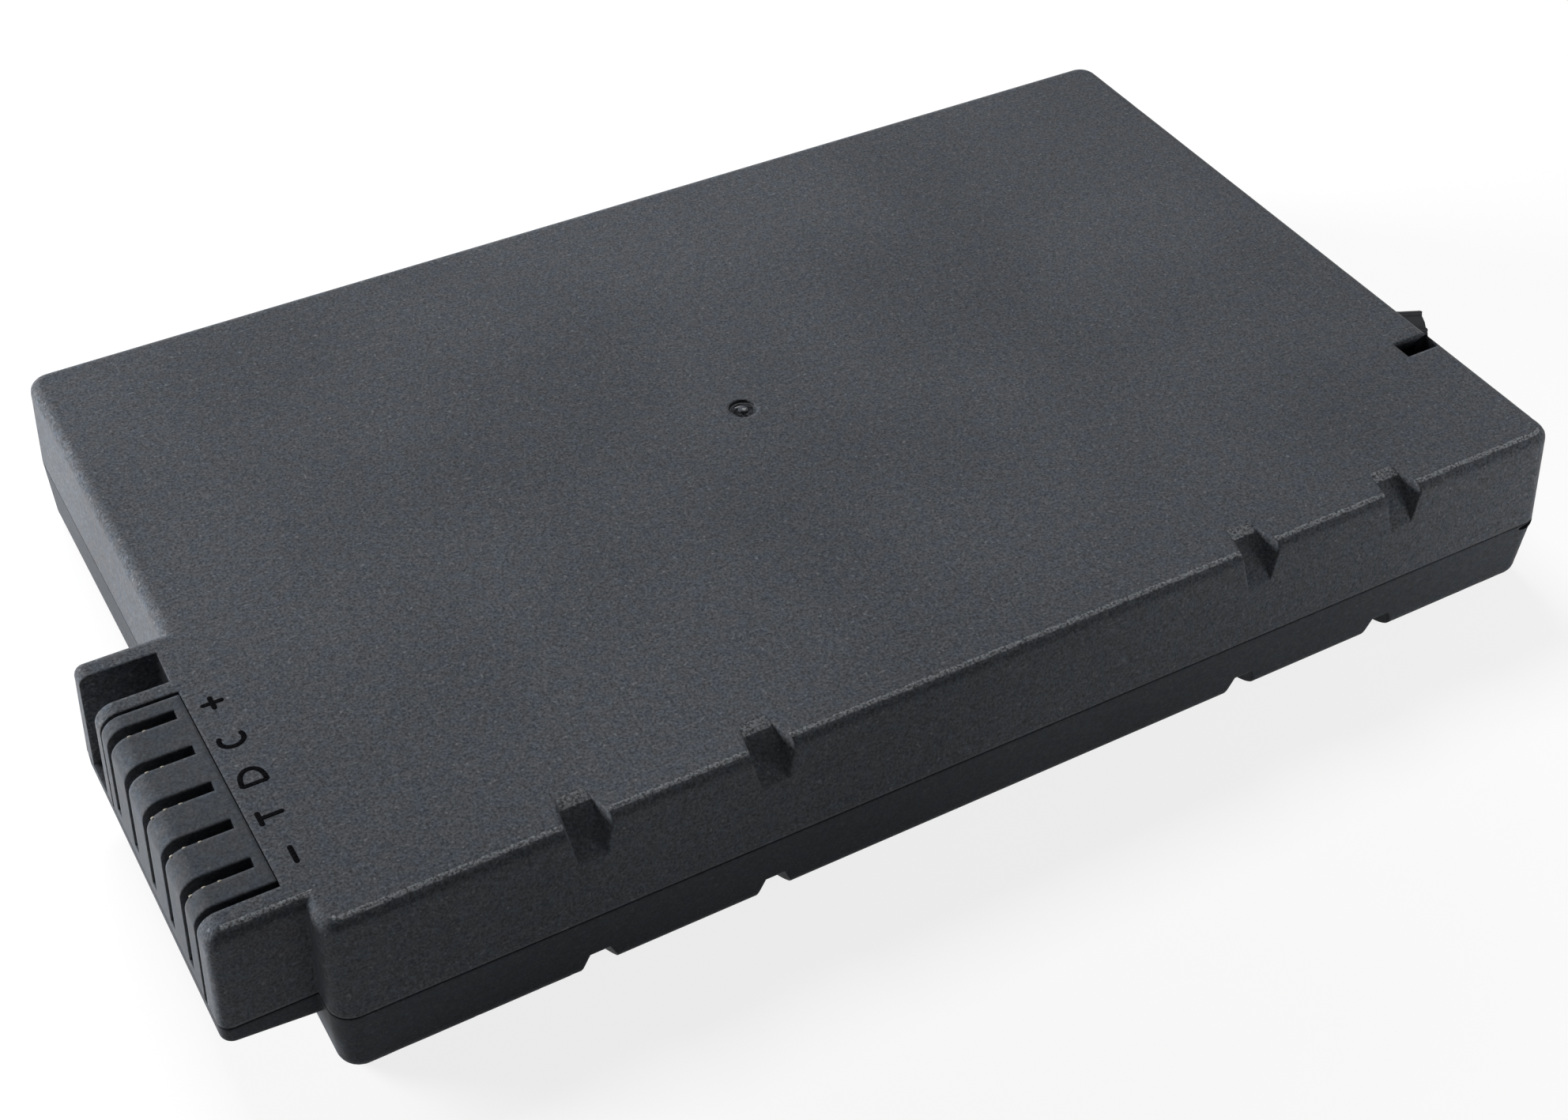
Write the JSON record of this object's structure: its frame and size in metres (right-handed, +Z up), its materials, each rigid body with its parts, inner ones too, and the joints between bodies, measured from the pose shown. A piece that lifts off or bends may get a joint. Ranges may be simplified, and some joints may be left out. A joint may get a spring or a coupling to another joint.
{
  "type": "laptop battery",
  "caption": "Flat slab battery pack for a portable computer: charcoal two-part case with an offset connector block, blade slots, a key notch, edge notches and a ribbon stub.",
  "frame": {"origin": "centre of the body's underside, on the surface that the pack lies on; the connector block and the pull tab stand out beyond the body", "axes": "+X along the length from the connector block to the pull tab, +Y across from the notched near side to the plain far side, +Z up through the top cover"},
  "size_m": [0.1531, 0.089, 0.0198],
  "materials": {
    "case_plastic": "charcoal moulded plastic with a fine spark-eroded texture",
    "terminal_plastic": "charcoal moulded plastic, finer texture than the case",
    "contact_metal": "gold-flashed spring contact strip",
    "strap": "black woven ribbon, cut square",
    "cell_sleeve": "shrink sleeve on a steel can",
    "insulating_paper": "grey-buff insulating paper",
    "nickel_strip": "nickel strip, spot welded",
    "board_laminate": "green solder mask on glass laminate",
    "chip_resin": "black moulded chip resin",
    "resistor_ceramic": "dark glazed chip part",
    "capacitor_ceramic": "tan chip capacitor",
    "bead_resin": "dark resin bead on tinned wires",
    "black_lead": "black lead insulation",
    "white_lead": "white lead insulation"
  },
  "bodies": {
    "root": {"board_capacitors": "capacitor_ceramic", "board_fuse": "resistor_ceramic", "board_paper": "insulating_paper", "bottom_cover": "case_plastic", "cell_1": "cell_sleeve", "cell_2": "cell_sleeve", "cell_3": "cell_sleeve", "cell_4": "cell_sleeve", "cell_5": "cell_sleeve", "cell_6": "cell_sleeve", "cell_7": "cell_sleeve", "cell_8": "cell_sleeve", "cell_9": "cell_sleeve", "cell_return_strip": "nickel_strip", "contact_clock": "contact_metal", "contact_data": "contact_metal", "contact_negative": "contact_metal", "contact_positive": "contact_metal", "contact_thermistor": "contact_metal", "gauge_chip": "chip_resin", "insulator_rings": "insulating_paper", "lower_midpoint_strip": "nickel_strip", "lower_sense_lead": "white_lead", "negative_lead": "black_lead", "pack_negative_strip": "nickel_strip", "pack_positive_strip": "nickel_strip", "power_switches": "chip_resin", "protection_board": "board_laminate", "protector_chip": "chip_resin", "pull_tab": "strap", "sense_resistor": "resistor_ceramic", "terminal_block": "terminal_plastic", "thermal_cutoff": "nickel_strip", "thermistor": "bead_resin", "top_cover": "case_plastic", "upper_midpoint_strip": "nickel_strip", "upper_sense_lead": "white_lead"}
  },
  "joints": []
}
